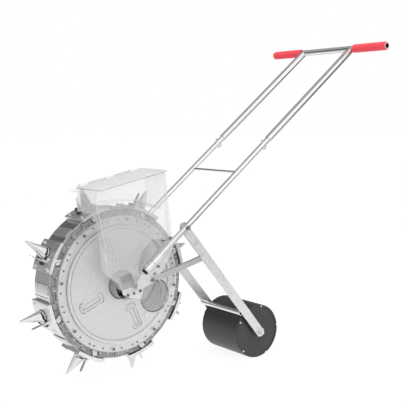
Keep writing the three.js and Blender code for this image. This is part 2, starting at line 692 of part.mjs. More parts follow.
const cover = new THREE.Group();
cover.position.set(0, rimCentre, hopperTopZ);
cover.rotation.y = -rad(hopperTilt);
seeder.add(cover);
const coverLength = hopperLength * slope - 1;
const coverDepth = hopperDepth + 2 * rimWidth;
const hingeY = knuckleY - rimCentre;
let lid = box(coverLength, coverDepth, coverRise + 1.5, place(0, 0, (coverRise - 1.5) / 2))
  .subtract(box(coverLength + 5, coverDepth - 5, 9, place(0, 0, -4.1)));
for (const x of knuckles.filter((_, i) => i % 2 === 0)) {
  lid = lid.add(rod(4, -14, 14, 14, place(x, hingeY, 3, 0, 0, 90)));
  lid = lid.add(box(28, 6, 3, place(x, hingeY - 4, 1.6)));
}
lid = lid.subtract(rod(2 + gap, -140, 140, 12, place(0, hingeY, 3, 0, 0, 90)));
addMesh(cover, 'hopper_lid', lid, clearSheet);
const hingePin = rod(2, -110, 110, 12, place(0, hingeY, 3, 0, 0, 90));
addMesh(cover, 'lid_pin', hingePin, stainless);

// The origin is the middle of the base of the whole machine

seeder.updateMatrixWorld(true);
const extent = new THREE.Box3().setFromObject(seeder, true);
seeder.position.set(
  -(extent.min.x + extent.max.x) / 2,
  -(extent.min.y + extent.max.y) / 2,
  -extent.min.z,
);

export default seeder;
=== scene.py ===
import json
import math
import bmesh
import bpy
from mathutils import Matrix, Vector


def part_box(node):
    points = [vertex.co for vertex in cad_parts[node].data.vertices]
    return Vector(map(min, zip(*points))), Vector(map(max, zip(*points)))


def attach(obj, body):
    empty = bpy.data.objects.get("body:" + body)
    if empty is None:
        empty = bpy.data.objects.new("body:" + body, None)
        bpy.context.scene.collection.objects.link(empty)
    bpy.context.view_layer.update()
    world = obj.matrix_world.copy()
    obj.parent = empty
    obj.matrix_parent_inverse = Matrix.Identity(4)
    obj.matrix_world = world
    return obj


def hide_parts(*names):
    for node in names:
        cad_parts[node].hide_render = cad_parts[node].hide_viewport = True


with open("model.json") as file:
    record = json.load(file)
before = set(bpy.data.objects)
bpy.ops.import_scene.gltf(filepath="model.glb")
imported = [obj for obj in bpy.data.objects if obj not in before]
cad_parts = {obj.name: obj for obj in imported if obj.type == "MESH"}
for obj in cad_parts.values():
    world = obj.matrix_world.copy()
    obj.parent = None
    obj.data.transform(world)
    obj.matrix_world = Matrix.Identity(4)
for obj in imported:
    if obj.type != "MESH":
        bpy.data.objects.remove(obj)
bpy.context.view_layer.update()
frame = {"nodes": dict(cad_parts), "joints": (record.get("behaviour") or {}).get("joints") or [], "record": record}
print("frame loaded:", len(frame["nodes"]), "nodes")

mm = 0.001
nodes = frame["nodes"]


def middle(node):
    low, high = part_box(node)
    return (low + high) / 2


axle = middle("stub_axle")
axle.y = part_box("near_side_disc")[1].y - 1.6 * mm  # outer face of the flat flange
rollerCentre = middle("roller_axle")
joints = {j["name"]: j for j in frame["joints"]}
hinge = {"shift": 30 * mm, "radius": 247 * mm}  # a jaw's hinge in its bill's own frame


def angleOfBill(k):
    x, _, z = joints["jaw_open_%d" % k]["pos_m"]
    return math.atan2(z - axle.z, x - axle.x) - math.atan2(hinge["shift"], hinge["radius"])


billAngles = [angleOfBill(k) for k in range(1, 9)]


def billFrame(angle):
    # columns: the growing angle, the axle's direction, straight out from the axle
    along = Vector((-math.sin(angle), 0, math.cos(angle)))
    out = Vector((math.cos(angle), 0, math.sin(angle)))
    across = Vector((0, 1, 0))
    return Matrix((
        (along.x, across.x, out.x, axle.x),
        (along.y, across.y, out.y, axle.y),
        (along.z, across.z, out.z, axle.z),
        (0, 0, 0, 1),
    ))


def onDisc(radius, angle, y):
    # a point at the drum; y is counted from the flange's outer face, inwards
    return Vector((axle.x + radius * math.cos(angle), axle.y + y, axle.z + radius * math.sin(angle)))


def newTree(name):
    mat = bpy.data.materials.new(name)
    mat.use_nodes = True
    tree = mat.node_tree
    shader = tree.nodes["Principled BSDF"]
    return mat, tree, shader


def addNode(tree, kind, **values):
    node = tree.nodes.new(kind)
    for key, value in values.items():
        setattr(node, key, value)
    return node


def newGroup(name, inputs, outputs):
    group = bpy.data.node_groups.new(name, "ShaderNodeTree")
    for label, kind, value in inputs:
        socket = group.interface.new_socket(label, in_out="INPUT", socket_type=kind)
        socket.default_value = value
    for label, kind in outputs:
        group.interface.new_socket(label, in_out="OUTPUT", socket_type=kind)
    return group, group.nodes.new("NodeGroupInput"), group.nodes.new("NodeGroupOutput")


def buildEdgeWear():
    # a broken-up mask on worn edges
    group, gin, gout = newGroup(
        "edgeWear",
        [("Amount", "NodeSocketFloat", 0.6)],
        [("Mask", "NodeSocketFloat")],
    )
    geo = addNode(group, "ShaderNodeNewGeometry")
    ramp = addNode(group, "ShaderNodeMapRange")
    ramp.inputs["From Min"].default_value = 0.52
    ramp.inputs["From Max"].default_value = 0.62
    noise = addNode(group, "ShaderNodeTexNoise")
    coord = addNode(group, "ShaderNodeTexCoord")
    noise.inputs["Scale"].default_value = 160
    noise.inputs["Detail"].default_value = 3
    link = group.links.new
    link(coord.outputs["Object"], noise.inputs["Vector"])
    link(geo.outputs["Pointiness"], ramp.inputs["Value"])
    times = addNode(group, "ShaderNodeMath", operation="MULTIPLY")
    link(ramp.outputs["Result"], times.inputs[0])
    link(noise.outputs["Fac"], times.inputs[1])
    scaled = addNode(group, "ShaderNodeMath", operation="MULTIPLY", use_clamp=True)
    link(times.outputs[0], scaled.inputs[0])
    link(gin.outputs["Amount"], scaled.inputs[1])
    link(scaled.outputs[0], gout.inputs["Mask"])
    return group


def buildSpangle():
    # zinc crystals: flat cells of slightly different grey, with fine speckle over them
    group, gin, gout = newGroup(
        "zincSpangle",
        [
            ("Cell Scale", "NodeSocketFloat", 90),
            ("Light", "NodeSocketColor", (0.8, 0.81, 0.82, 1)),
            ("Dark", "NodeSocketColor", (0.62, 0.63, 0.645, 1)),
        ],
        [("Color", "NodeSocketColor"), ("Tone", "NodeSocketFloat"), ("Height", "NodeSocketFloat")],
    )
    link = group.links.new
    coord = addNode(group, "ShaderNodeTexCoord")
    warp = addNode(group, "ShaderNodeTexNoise")
    warp.inputs["Scale"].default_value = 40
    warp.inputs["Detail"].default_value = 3
    shift = addNode(group, "ShaderNodeVectorMath", operation="MULTIPLY_ADD")
    shift.inputs[1].default_value = (0.012, 0.012, 0.012)
    link(coord.outputs["Object"], warp.inputs["Vector"])
    link(warp.outputs["Color"], shift.inputs[0])
    link(coord.outputs["Object"], shift.inputs[2])
    cells = addNode(group, "ShaderNodeTexVoronoi")
    link(shift.outputs[0], cells.inputs["Vector"])
    link(gin.outputs["Cell Scale"], cells.inputs["Scale"])
    grey = addNode(group, "ShaderNodeSeparateColor")
    link(cells.outputs["Color"], grey.inputs["Color"])
    speck = addNode(group, "ShaderNodeTexNoise")
    speck.inputs["Scale"].default_value = 900
    speck.inputs["Detail"].default_value = 2
    link(coord.outputs["Object"], speck.inputs["Vector"])
    tone = addNode(group, "ShaderNodeMath", operation="MULTIPLY_ADD")
    tone.inputs[1].default_value = 0.6
    link(grey.outputs["Red"], tone.inputs[0])
    part = addNode(group, "ShaderNodeMath", operation="MULTIPLY")
    part.inputs[1].default_value = 0.55
    link(speck.outputs["Fac"], part.inputs[0])
    link(part.outputs[0], tone.inputs[2])
    mix = addNode(group, "ShaderNodeMix", data_type="RGBA")
    link(tone.outputs[0], mix.inputs["Factor"])
    link(gin.outputs["Dark"], mix.inputs["A"])
    link(gin.outputs["Light"], mix.inputs["B"])
    link(mix.outputs["Result"], gout.inputs["Color"])
    link(tone.outputs[0], gout.inputs["Tone"])
    link(tone.outputs[0], gout.inputs["Height"])
    return group


def buildBrushed():
    # fine scratches, drawn out by stretching the noise
    group, gin, gout = newGroup(
        "brushedLines",
        [("Stretch", "NodeSocketVector", (30.0, 900.0, 900.0))],
        [("Tone", "NodeSocketFloat")],
    )
    link = group.links.new
    coord = addNode(group, "ShaderNodeTexCoord")
    scale = addNode(group, "ShaderNodeVectorMath", operation="MULTIPLY")
    link(coord.outputs["Object"], scale.inputs[0])
    link(gin.outputs["Stretch"], scale.inputs[1])
    noise = addNode(group, "ShaderNodeTexNoise")
    noise.inputs["Scale"].default_value = 1
    noise.inputs["Detail"].default_value = 4
    noise.inputs["Roughness"].default_value = 0.6
    link(scale.outputs[0], noise.inputs["Vector"])
    link(noise.outputs["Fac"], gout.inputs["Tone"])
    return group


def buildDust():
    # soft dust and handling marks, thicker on faces that look up
    group, gin, gout = newGroup(
        "dustFilm",
        [("Scale", "NodeSocketFloat", 14.0), ("Amount", "NodeSocketFloat", 0.3)],
        [("Mask", "NodeSocketFloat")],
    )
    link = group.links.new
    coord = addNode(group, "ShaderNodeTexCoord")
    noise = addNode(group, "ShaderNodeTexNoise")
    noise.inputs["Detail"].default_value = 7
    noise.inputs["Roughness"].default_value = 0.65
    link(coord.outputs["Object"], noise.inputs["Vector"])
    link(gin.outputs["Scale"], noise.inputs["Scale"])
    cut = addNode(group, "ShaderNodeMapRange")
    cut.inputs["From Min"].default_value = 0.45
    cut.inputs["From Max"].default_value = 0.75
    link(noise.outputs["Fac"], cut.inputs["Value"])
    geo = addNode(group, "ShaderNodeNewGeometry")
    axes = addNode(group, "ShaderNodeSeparateXYZ")
    link(geo.outputs["Normal"], axes.inputs["Vector"])
    up = addNode(group, "ShaderNodeMapRange")
    up.inputs["From Min"].default_value = -0.4
    up.inputs["From Max"].default_value = 1.0
    up.inputs["To Min"].default_value = 0.3
    link(axes.outputs["Z"], up.inputs["Value"])
    both = addNode(group, "ShaderNodeMath", operation="MULTIPLY")
    link(cut.outputs["Result"], both.inputs[0])
    link(up.outputs["Result"], both.inputs[1])
    scaled = addNode(group, "ShaderNodeMath", operation="MULTIPLY", use_clamp=True)
    link(both.outputs[0], scaled.inputs[0])
    link(gin.outputs["Amount"], scaled.inputs[1])
    link(scaled.outputs[0], gout.inputs["Mask"])
    return group


edgeWear = buildEdgeWear()
zincSpangle = buildSpangle()
brushedLines = buildBrushed()
dustFilm = buildDust()


def placeGroup(tree, group, **values):
    node = tree.nodes.new("ShaderNodeGroup")
    node.node_tree = group
    for key, value in values.items():
        node.inputs[key.replace("_", " ")].default_value = value
    return node


def toneRange(tree, source, low, high):
    rng = addNode(tree, "ShaderNodeMapRange")
    rng.inputs["From Min"].default_value = 0.25
    rng.inputs["From Max"].default_value = 0.75
    rng.inputs["To Min"].default_value = low
    rng.inputs["To Max"].default_value = high
    tree.links.new(source, rng.inputs["Value"])
    return rng.outputs["Result"]


def mixColour(tree, mask, first, second):
    mix = addNode(tree, "ShaderNodeMix", data_type="RGBA")
    tree.links.new(mask, mix.inputs["Factor"])
    for key, value in (("A", first), ("B", second)):
        if isinstance(value, tuple):
            mix.inputs[key].default_value = value
        else:
            tree.links.new(value, mix.inputs[key])
    return mix.outputs["Result"]


def addBump(tree, shader, height, strength, distance):
    bump = addNode(tree, "ShaderNodeBump")
    bump.inputs["Strength"].default_value = strength
    bump.inputs["Distance"].default_value = distance
    tree.links.new(height, bump.inputs["Height"])
    tree.links.new(bump.outputs["Normal"], shader.inputs["Normal"])


def zincSheet(name, light, dark, roughness, metallic=0.85, cellScale=110):
    mat, tree, shader = newTree(name)
    spangle = placeGroup(tree, zincSpangle, Cell_Scale=cellScale, Light=light, Dark=dark)
    dust = placeGroup(tree, dustFilm, Scale=11.0, Amount=0.35)
    wear = placeGroup(tree, edgeWear, Amount=0.8)
    colour = mixColour(tree, dust.outputs["Mask"], spangle.outputs["Color"], (0.66, 0.65, 0.63, 1))
    colour = mixColour(tree, wear.outputs["Mask"], colour, (0.93, 0.93, 0.93, 1))
    tree.links.new(colour, shader.inputs["Base Color"])
    rough = toneRange(tree, spangle.outputs["Tone"], roughness - 0.07, roughness + 0.09)
    tree.links.new(rough, shader.inputs["Roughness"])
    shader.inputs["Metallic"].default_value = metallic
    addBump(tree, shader, spangle.outputs["Height"], 0.12, 0.0004)
    return mat


def rolledSteel(name, colour, roughness, stretch, metallic=1.0):
    mat, tree, shader = newTree(name)
    lines = placeGroup(tree, brushedLines, Stretch=stretch)
    dust = placeGroup(tree, dustFilm, Scale=16.0, Amount=0.25)
    wear = placeGroup(tree, edgeWear, Amount=0.7)
    darker = tuple(c * 0.82 for c in colour[:3]) + (1,)
    base = mixColour(tree, lines.outputs["Tone"], darker, colour)
    base = mixColour(tree, dust.outputs["Mask"], base, (0.55, 0.54, 0.52, 1))
    base = mixColour(tree, wear.outputs["Mask"], base, (0.95, 0.95, 0.95, 1))
    tree.links.new(base, shader.inputs["Base Color"])
    rough = toneRange(tree, lines.outputs["Tone"], roughness - 0.06, roughness + 0.1)
    tree.links.new(rough, shader.inputs["Roughness"])
    shader.inputs["Metallic"].default_value = metallic
    addBump(tree, shader, lines.outputs["Tone"], 0.08, 0.0002)
    return mat


def clearSheet(name, tint, faceAlpha, edgeAlpha, roughness):
    # see-through where it faces the eye and denser where it turns away
    mat, tree, shader = newTree(name)
    facing = addNode(tree, "ShaderNodeLayerWeight")
    facing.inputs["Blend"].default_value = 0.35
    alpha = addNode(tree, "ShaderNodeMapRange")
    alpha.inputs["To Min"].default_value = faceAlpha
    alpha.inputs["To Max"].default_value = edgeAlpha
    tree.links.new(facing.outputs["Facing"], alpha.inputs["Value"])
    haze = placeGroup(tree, dustFilm, Scale=9.0, Amount=0.12)
    total = addNode(tree, "ShaderNodeMath", operation="ADD", use_clamp=True)
    tree.links.new(alpha.outputs["Result"], total.inputs[0])
    tree.links.new(haze.outputs["Mask"], total.inputs[1])
    tree.links.new(total.outputs[0], shader.inputs["Alpha"])
    base = mixColour(tree, haze.outputs["Mask"], tint, (0.9, 0.9, 0.88, 1))
    tree.links.new(base, shader.inputs["Base Color"])
    rough = toneRange(tree, haze.outputs["Mask"], roughness, roughness + 0.15)
    tree.links.new(rough, shader.inputs["Roughness"])
    shader.inputs["Specular IOR Level"].default_value = 0.8
    return mat


def mouldedPlastic(name, colour, roughness, grain, strength):
    mat, tree, shader = newTree(name)
    coord = addNode(tree, "ShaderNodeTexCoord")
    noise = addNode(tree, "ShaderNodeTexNoise")
    noise.inputs["Scale"].default_value = grain
    noise.inputs["Detail"].default_value = 3
    tree.links.new(coord.outputs["Object"], noise.inputs["Vector"])
    dust = placeGroup(tree, dustFilm, Scale=13.0, Amount=0.4)
    wear = placeGroup(tree, edgeWear, Amount=0.5)
    paler = tuple(min(1, c * 1.9 + 0.03) for c in colour[:3]) + (1,)
    base = mixColour(tree, dust.outputs["Mask"], colour, paler)
    base = mixColour(tree, wear.outputs["Mask"], base, paler)
    tree.links.new(base, shader.inputs["Base Color"])
    rough = toneRange(tree, noise.outputs["Fac"], roughness - 0.06, roughness + 0.08)
    tree.links.new(rough, shader.inputs["Roughness"])
    addBump(tree, shader, noise.outputs["Fac"], strength, 0.0004)
    return mat


zincDisc = zincSheet("zincDisc", (0.78, 0.785, 0.79, 1), (0.56, 0.565, 0.57, 1), 0.38, 0.9, 520)
zincPlate = zincSheet("zincPlate", (0.84, 0.845, 0.85, 1), (0.62, 0.63, 0.64, 1), 0.36, 0.95, 150)
brightSteel = rolledSteel("brightSteel", (0.86, 0.865, 0.87, 1), 0.2, (900.0, 30.0, 900.0))
tubeChrome = rolledSteel("tubeChrome", (0.93, 0.935, 0.94, 1), 0.1, (25.0, 700.0, 25.0))
fastenerSteel = rolledSteel("fastenerSteel", (0.16, 0.16, 0.165, 1), 0.36, (700.0, 700.0, 700.0))
brightFastener = rolledSteel("brightFastener", (0.9, 0.9, 0.9, 1), 0.25, (700.0, 700.0, 700.0), 0.8)
clearPlastic = clearSheet("clearPlastic", (0.9, 0.905, 0.91, 1), 0.1, 0.4, 0.05)
lidPlastic = clearSheet("lidPlastic", (1.0, 1.0, 1.0, 1), 0.62, 0.72, 0.1)
# nearly opaque white, for the bright lines on the clear edges: painted highlight
edgeHighlightPlastic = clearSheet("edgeHighlightPlastic", (0.98, 0.98, 0.98, 1), 0.75, 0.95, 0.1)
smokedPlastic = clearSheet("smokedPlastic", (0.5, 0.505, 0.51, 1), 0.14, 0.7, 0.08)
ringPlastic = clearSheet("ringPlastic", (0.6, 0.605, 0.61, 1), 0.3, 0.75, 0.1)
cellPlastic = mouldedPlastic("cellPlastic", (0.26, 0.262, 0.265, 1), 0.4, 500, 0.2)
stayTube = rolledSteel("stayTube", (0.62, 0.62, 0.625, 1), 0.25, (60.0, 700.0, 300.0))
plugRubber = mouldedPlastic("plugRubber", (0.002, 0.002, 0.002, 1), 0.8, 500, 0.1)
blackPlastic = mouldedPlastic("blackPlastic", (0.028, 0.028, 0.03, 1), 0.38, 500, 0.2)
redFoam = mouldedPlastic("redFoam", (1.0, 0.075, 0.1, 1), 0.7, 1500, 0.5)
print("materials built")


def finishMesh(name, bm, material, body, smooth=35, bevel=None):
    mesh = bpy.data.meshes.new(name)
    bm.to_mesh(mesh)
    bm.free()
    mesh.materials.append(material)
    piece = bpy.data.objects.new(name, mesh)
    bpy.context.scene.collection.objects.link(piece)
    for poly in mesh.polygons:
        poly.use_smooth = True
    mesh.set_sharp_from_angle(angle=math.radians(smooth))
    if bevel:
        mod = piece.modifiers.new("softEdge", "BEVEL")
        mod.width = bevel
        mod.segments = 2
        mod.limit_method = "ANGLE"
        mod.angle_limit = math.radians(38)
        mod.harden_normals = True
    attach(piece, body)
    return piece


nodeBody = {n: b for b, names in frame["record"]["behaviour"]["bodies"].items() for n in names}


def refineNode(node, material, bevel=0.4 * mm, smooth=32):
    # a merged, soft-edged copy stands for the plain CAD solid
    bm = bmesh.new()
    bm.from_mesh(nodes[node].data)
    bmesh.ops.remove_doubles(bm, verts=bm.verts, dist=0.00002)
    bmesh.ops.dissolve_limit(bm, angle_limit=math.radians(0.6), verts=bm.verts, edges=bm.edges)
    piece = finishMesh(node + "_look", bm, material, nodeBody[node], smooth, bevel)
    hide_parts(node)
    return piece


nodeFinish = {
    "near_side_disc": (zincDisc, 0.5),
    "far_side_disc": (zincDisc, 0.5),
    "inspection_window": (smokedPlastic, 0.3),
    "metering_ring": (ringPlastic, 0.3),
    "drum_shell": (brightSteel, 0.4),
    "drum_hub": (fastenerSteel, 0.5),
    "inlet_bushing": (blackPlastic, 0.5),
    "inlet_collar": (clearPlastic, 0.4),
    "outlet_plate": (fastenerSteel, 0.4),
    "cross_brace": (tubeChrome, 0.4),
    "near_strap": (zincPlate, 0.5),
    "far_strap": (zincPlate, 0.5),
    "stub_axle": (fastenerSteel, 0.6),
    "near_stay": (stayTube, 0.4),
    "far_stay": (zincPlate, 0.5),
    "roller_arm_near": (zincPlate, 0.6),
    "roller_arm_far": (zincPlate, 0.6),
    "arm_bolt_near": (fastenerSteel, 0.5),
    "arm_bolt_far": (fastenerSteel, 0.5),
    "tie_tube": (tubeChrome, 0.4),
    "roller_shell": (blackPlastic, 0.8),
    "roller_cap_near": (blackPlastic, 0.5),
    "roller_cap_far": (blackPlastic, 0.5),
    "roller_axle": (brightSteel, 0.6),
    "hopper": (clearPlastic, 0.5),
    "hopper_lid": (lidPlastic, 0.5),
    "lid_pin": (brightSteel, 0.3),
    "upper_handle": (tubeChrome, 0.4),
}
for side in ("near", "far"):
    nodeFinish["lower_tube_" + side] = (tubeChrome, 0.3)
    nodeFinish["tube_plug_" + side] = (plugRubber, 0.5)
    nodeFinish["stop_bolt_" + side] = (brightSteel, 0.3)
    nodeFinish["socket_sleeve_" + side] = (tubeChrome, 0.4)
for k in range(1, 9):
    nodeFinish["bill_seat_%d" % k] = (zincPlate, 0.4)
    nodeFinish["bill_jaw_%d" % k] = (brightSteel, 0.4)

for node, (material, bevel) in nodeFinish.items():
    refineNode(node, material, bevel * mm)
print("CAD solids finished:", len(nodeFinish))


def faceFrame(point, normal):
    # a frame whose Z points out of a surface
    turn = Vector(normal).to_track_quat("Z", "Y").to_matrix().to_4x4()
    return Matrix.Translation(point) @ turn


def wirePiece(name, paths, radius, material, body, closed=False, rounds=2):
    curve = bpy.data.curves.new(name, "CURVE")
    curve.dimensions = "3D"
    curve.bevel_depth = radius
    curve.bevel_resolution = rounds
    curve.use_fill_caps = True
    for path in paths:
        spline = curve.splines.new("POLY")
        spline.points.add(len(path) - 1)
        for point, spot in zip(spline.points, path):
            point.co = (*spot, 1)
        spline.use_cyclic_u = closed
    shape = bpy.data.objects.new(name + "_path", curve)
    bpy.context.scene.collection.objects.link(shape)
    bm = bmesh.new()
    bm.from_mesh(shape.to_mesh())
    shape.to_mesh_clear()
    bpy.data.objects.remove(shape)
    bmesh.ops.remove_doubles(bm, verts=bm.verts, dist=0.00001)
    return finishMesh(name, bm, material, body, 60)


def addHead(bm, place, radius, height, sides=12, socket=0.45):
    # a bolt or screw head with a sunk drive, standing on the surface
    made = bmesh.ops.create_cone(
        bm, cap_ends=True, segments=sides, radius1=radius, radius2=radius * 0.9, depth=height,
        matrix=place @ Matrix.Translation((0, 0, height / 2)),
    )
    out = place.to_3x3() @ Vector((0, 0, 1))
    faces = {f for v in made["verts"] for f in v.link_faces}
    top = max(faces, key=lambda f: f.calc_center_median().dot(out))
    if socket:
        bmesh.ops.inset_individual(bm, faces=[top], thickness=radius * (1 - socket))
        bmesh.ops.translate(bm, verts=top.verts, vec=-out * height * 0.55)


washerThick = 1 * mm


def headsPiece(name, spots, radius, height, material, body, sides=12, socket=0.45, washer=0):
    bm = bmesh.new()
    lift = Matrix.Translation((0, 0, washerThick if washer else 0))
    for place in spots:
        if washer:
            addHead(bm, place, washer, washerThick, 20, 0)
        addHead(bm, place @ lift, radius, height, sides, socket)
    return finishMesh(name, bm, material, body, 35)


def spunPiece(name, profile, centre, material, body, steps=64, start=0, sweep=360, bevel=None):
    # profile: closed list of (radius, along Y), turned about Y from the start angle
    bm = bmesh.new()
    axis = Vector((0, 1, 0))
    out = Vector((math.cos(math.radians(start)), 0, math.sin(math.radians(start))))
    verts = [bm.verts.new(Vector(centre) + out * r + axis * y) for r, y in profile]
    edges = [bm.edges.new((verts[i], verts[(i + 1) % len(verts)])) for i in range(len(verts))]
    bmesh.ops.spin(
        bm, geom=verts + edges, cent=centre, axis=-axis, angle=math.radians(sweep), steps=steps,
        use_merge=sweep == 360, use_duplicate=False,
    )
    bmesh.ops.remove_doubles(bm, verts=bm.verts, dist=0.000005)
    if sweep < 360:
        bmesh.ops.holes_fill(bm, edges=bm.edges, sides=0)
    bmesh.ops.recalc_face_normals(bm, faces=bm.faces)
    return finishMesh(name, bm, material, body, 35, bevel)


def inMetres(profile):
    return [(r * mm, y * mm) for r, y in profile]


def addBlock(bm, place, size, bevel=0.6 * mm):
    made = bmesh.ops.create_cube(bm, size=1, matrix=place @ Matrix.Diagonal((*size, 1)))
    edges = {e for v in made["verts"] for e in v.link_edges}
    bmesh.ops.bevel(
        bm, geom=list(edges), offset=bevel, segments=2, profile=0.5, affect="EDGES", material=-1,
    )


# near side of the drum: bead, pressed slots and screws
discFace = {
    "domeEdge": 178,  # radius where the dome starts, mm
    "domeFoot": 6,
    "domeTop": 10,
    "domeHub": 59,
    "beadRadius": 179.5,
    "beadSize": 2.3,
    "beadDepth": 0.85,  # share of the dome's foot
    # the bright ring on the bead's top: painted highlight
    "highlightOut": 0.8,
    "highlightSize": 0.9,
    "outerGroove": 2.4,  # beyond the bead
    "outerGrooveDepth": 2.2,
    "slotHighlightSize": 1.5,
    "slotShadeSize": 0.75,
    "grooveRadius": 171,
    "ribAngles": (23, 113, 203, 293),
    "outerSlot": (69, 155.5, 18.6, 11),
    "innerSlot": (80, 146, 8.6, 8.5),
    "outerSlotShade": (71, 153, 16.2, 9.5),
    "innerSlotShade": (82, 144, 6.4, 6.3),
    "bigScrewRadius": 199.5,
    "bigScrewFoot": 3.4,
    "bigScrewAfterBill": 20.9,
    "smallScrewAfterBig": (8.5, 20, 25, 34.5),
}


def domeHeight(radius):
    # how far the dome stands out of the flange, radius in mm
    rise = (discFace["domeTop"] - discFace["domeFoot"]) / (discFace["domeEdge"] - discFace["domeHub"])
    return discFace["domeFoot"] + (discFace["domeEdge"] - radius) * rise


def slotLoop(inner, outer, half, corner, angle, lift):
    # a rounded slot lying on the dome and pointing at the hub
    points = []
    turn = math.radians(angle)
    corners = ((outer, half, 0), (inner, half, 90), (inner, -half, 180), (outer, -half, 270))
    for radial, side, begin in corners:
        cx = radial - math.copysign(corner, radial - (inner + outer) / 2)
        cy = side - math.copysign(corner, side)
        for step in range(9):
            a = math.radians(begin + 90 * step / 8)
            x = cx + corner * math.cos(a)
            y = cy + corner * math.sin(a)
            radius = math.hypot(x, y)
            points.append(onDisc(radius * mm, turn + math.atan2(y, x), -(domeHeight(radius) + lift) * mm))
    return points


def ringPath(centre, radius, count=96):
    turns = [2 * math.pi * i / count for i in range(count)]
    return [Vector(centre) + Vector((radius * math.cos(a), 0, radius * math.sin(a))) for a in turns]


def buildDiscFace():
    face = discFace
    centre = axle + Vector((0, -face["domeFoot"] * face["beadDepth"] * mm, 0))
    wirePiece("disc_bead", [ringPath(centre, face["beadRadius"] * mm, 160)], face["beadSize"] * mm,
              zincPlate, "drum", True, 3)
    # a bright ring along the top of the bead: painted highlight
    highlightCentre = centre + Vector((0, -face["beadSize"] * 0.75 * mm, 0))
    highlightRing = ringPath(highlightCentre, (face["beadRadius"] + face["highlightOut"]) * mm, 160)
    wirePiece("disc_bead_painted_highlight", [highlightRing], face["highlightSize"] * mm, brightFastener,
              "drum", True)
    # dark rings at the inner groove and beyond the bead: painted shade
    inner = axle + Vector((0, -domeHeight(face["grooveRadius"]) * mm, 0))
    wirePiece("disc_inner_painted_shade", [ringPath(inner, face["grooveRadius"] * mm, 160)], 0.7 * mm,
              fastenerSteel, "drum", True)
    outer = axle + Vector((0, -face["outerGrooveDepth"] * mm, 0))
    outerRing = ringPath(outer, (face["beadRadius"] + face["outerGroove"]) * mm, 160)
    wirePiece("disc_outer_painted_shade", [outerRing], 0.8 * mm, fastenerSteel, "drum", True)
    # bright loops round the pressed slots: raised rims with a painted highlight; dark loops inside them: painted
    # shade
    slotHighlight = face["slotHighlightSize"] * mm
    outerLoops = [slotLoop(*face["outerSlot"], a, 0.4) for a in face["ribAngles"]]
    innerLoops = [slotLoop(*face["innerSlot"], a, 0.2) for a in face["ribAngles"]]
    wirePiece("disc_slots_outer_highlight", outerLoops, slotHighlight, brightFastener, "drum", True)
    wirePiece("disc_slots_inner_highlight", innerLoops, slotHighlight, brightFastener, "drum", True)
    slotShades = [slotLoop(*face["outerSlotShade"], a, 0.1) for a in face["ribAngles"]]
    slotShades += [slotLoop(*face["innerSlotShade"], a, 0.1) for a in face["ribAngles"]]
    slotShade = face["slotShadeSize"] * mm
    wirePiece("disc_slots_painted_shade", slotShades, slotShade, fastenerSteel, "drum", True)
    big = []
    small = []
    for angle in billAngles:
        bigAngle = math.degrees(angle) + face["bigScrewAfterBill"]
        spot = onDisc(face["bigScrewRadius"] * mm, math.radians(bigAngle), -face["bigScrewFoot"] * mm)
        big.append(faceFrame(spot, (0, -1, 0)))
        for after in face["smallScrewAfterBig"]:
            spot = onDisc(face["bigScrewRadius"] * mm, math.radians(bigAngle + after), 0)
            small.append(faceFrame(spot, (0, -1, 0)))
    headsPiece("disc_screws_big", big, 5.4 * mm, 3.4 * mm, fastenerSteel, "drum", 6, 0.5)
    headsPiece("disc_screws_small", small, 3.1 * mm, 1.8 * mm, fastenerSteel, "drum", 14, 0.5)


# the round window low on the disc, with its rim, screws, knob and the well behind it
windowFit = {
    "radius": 55,
    "angle": 338,
    "orbit": 129,
    "standOff": 8.6,
    "rimSize": 1.3,
    "screws": 9,
    "firstScrew": 200,
    "screwStep": 22,
    "knob": 7,
    "knobAngle": 309.3,
    "knobOrbit": 138,
    "knobFoot": 7.4,
    "well": ((50, 2), (50, 34), (48.6, 34), (48.6, 2)),  # radius, depth
    "lipRadius": 48,
    "lipDepths": (12, 33),
}


def buildWindow():
    fit = windowFit
    centre = onDisc(fit["orbit"] * mm, math.radians(fit["angle"]), -fit["standOff"] * mm)
    wirePiece("window_rim", [ringPath(centre, (fit["radius"] - 0.4) * mm)], fit["rimSize"] * mm,
              brightSteel, "drum", True)
    screws = []
    for k in range(fit["screws"]):
        a = math.radians(fit["firstScrew"] + fit["screwStep"] * k)
        spot = centre + Vector((math.cos(a), 0, math.sin(a))) * (fit["radius"] - 5) * mm
        screws.append(faceFrame(spot + Vector((0, -fit["rimSize"] * mm, 0)), (0, -1, 0)))
    headsPiece("window_screws", screws, 1.8 * mm, 1 * mm, fastenerSteel, "drum", 10)
    knob = onDisc(fit["knobOrbit"] * mm, math.radians(fit["knobAngle"]), -fit["knobFoot"] * mm)
    headsPiece("window_knob", [faceFrame(knob, (0, -1, 0))], fit["knob"] * mm, 5 * mm,
               brightFastener, "drum", 20, 0.55)
    spunPiece("window_well", inMetres(fit["well"]), centre, brightSteel, "drum", 56)
    lips = [ringPath(centre + Vector((0, y * mm, 0)), fit["lipRadius"] * mm) for y in fit["lipDepths"]]
    wirePiece("window_well_lips", lips, 1.2 * mm, brightFastener, "drum", True)


# seen through the window: brush wheel with its cap, a curved seed divider and the baffle behind
insideKit = {
    "brushAt": (116, 40, -85),
    "brush": ((8, 0), (30, 2), (33, 6), (33, 14), (30, 18), (12, 20), (8, 20)),
    "cap": ((0.01, -3), (9, -3), (12, -1), (12, 2), (0.01, 2)),
    "dividerSteps": 15,
    "dividerStart": 352,  # degrees
    "dividerTurn": 3.2,
    "dividerRadius": 150,
    "dividerCloses": 2.2,
    "dividerDepth": 18,
    "baffle": ((62, 26), (205, 26), (205, 28), (62, 28)),
    "baffleStart": 300,
    "baffleSweep": 80,
}


